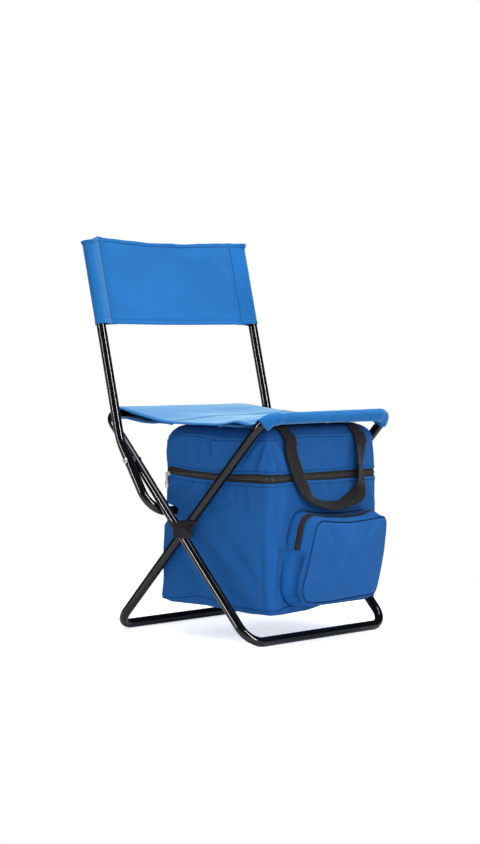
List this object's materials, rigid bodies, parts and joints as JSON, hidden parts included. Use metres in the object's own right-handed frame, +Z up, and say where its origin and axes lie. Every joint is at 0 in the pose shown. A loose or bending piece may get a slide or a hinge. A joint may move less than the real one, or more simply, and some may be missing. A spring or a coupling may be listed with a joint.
{
  "type": "folding cooler stool",
  "caption": "Folding stool with crossed tube legs, sling seat, hinged cloth backrest and a zipped insulated bag with carry handle and front pocket under the seat.",
  "frame": {"origin": "on the floor, midway between the two sides, below the rivets where the legs cross (the bounding box's bottom centre within 2 mm)", "axes": "+Z up; -Y to the front, where the bag's pocket is; +X to the left of a person seated on it"},
  "size_m": [0.4014, 0.4262, 0.6747],
  "materials": {
    "tube_paint": "gloss black powder coat",
    "plug_plastic": "black moulded",
    "rivet_steel": "plated",
    "seat_cloth": "bright blue plain-weave polyester",
    "bag_cloth": "blue plain-weave polyester",
    "foil": "foil-faced foam",
    "board": "stiff dark board",
    "webbing": "ribbed dark grey webbing",
    "zip_tape": "black zip tape and coil",
    "nickel": "satin nickel plate"
  },
  "bodies": {
    "outer_frame": {"outer_leg_frame": "tube_paint", "leg_rivet_left": "rivet_steel", "leg_rivet_right": "rivet_steel", "leg_washer_left": "rivet_steel", "leg_washer_right": "rivet_steel", "back_rivet_left": "rivet_steel", "back_rivet_right": "rivet_steel", "back_washer_left": "rivet_steel", "back_washer_right": "rivet_steel", "crossing_band_left": "webbing", "crossing_band_right": "webbing", "seat_panel": "seat_cloth", "bag_shell": "bag_cloth", "bag_liner": "foil", "bag_base_board": "board", "lid_hinge_strip": "bag_cloth", "main_zip_lower_tape": "zip_tape", "pocket_shell": "bag_cloth", "pocket_zip_tape": "zip_tape"},
    "inner_frame": {"inner_leg_frame": "tube_paint"},
    "backrest": {"backrest_frame": "tube_paint", "back_tube_plug_left": "plug_plastic", "back_tube_plug_right": "plug_plastic", "back_panel": "seat_cloth"},
    "lid": {"bag_lid": "bag_cloth", "lid_foam": "foil", "main_zip_upper_tape": "zip_tape", "handle_tab_left": "webbing", "handle_tab_right": "webbing"},
    "handle": {"carry_handle": "webbing"},
    "main_slider": {"main_zip_slider": "nickel"},
    "main_pull": {"main_zip_pull": "nickel"},
    "pocket_slider": {"pocket_zip_slider": "nickel"},
    "pocket_pull": {"pocket_zip_pull": "nickel"}
  },
  "joints": [
    {"name": "leg_fold", "type": "hinge", "parent": "outer_frame", "child": "inner_frame", "pos_m": [0, 0, 0.184], "axis": [-1, 0, 0], "range_deg": [0, 80], "deforming": ["seat_panel"]},
    {"name": "backrest_fold", "type": "hinge", "parent": "outer_frame", "child": "backrest", "pos_m": [0, 0.10191, 0.296], "axis": [1, 0, 0], "range_deg": [0, 62]},
    {"name": "lid_open", "type": "hinge", "parent": "outer_frame", "child": "lid", "pos_m": [0, 0.064, 0.2735], "axis": [-1, 0, 0], "range_deg": [0, 6]},
    {"name": "handle_swing", "type": "hinge", "parent": "lid", "child": "handle", "pos_m": [0, -0.174, 0.3245], "axis": [-1, 0, 0], "range_deg": [0, 90]},
    {"name": "main_zip_slide", "type": "slide", "parent": "outer_frame", "child": "main_slider", "axis": [0.028, -0.9996, 0], "range_m": [0, 0.2]},
    {"name": "main_pull_swing", "type": "hinge", "parent": "main_slider", "child": "main_pull", "pos_m": [-0.1455, 0.05615, 0.2735], "axis": [1, 0, 0], "range_deg": [-50, 50]},
    {"name": "pocket_zip_slide", "type": "slide", "parent": "outer_frame", "child": "pocket_slider", "axis": [0.0757, 0, 0.9971], "range_m": [0, 0.02]},
    {"name": "pocket_pull_swing", "type": "hinge", "parent": "pocket_slider", "child": "pocket_pull", "pos_m": [0.1055, -0.1888, 0.1611], "axis": [1, 0, 0], "range_deg": [-40, 40]}
  ]
}
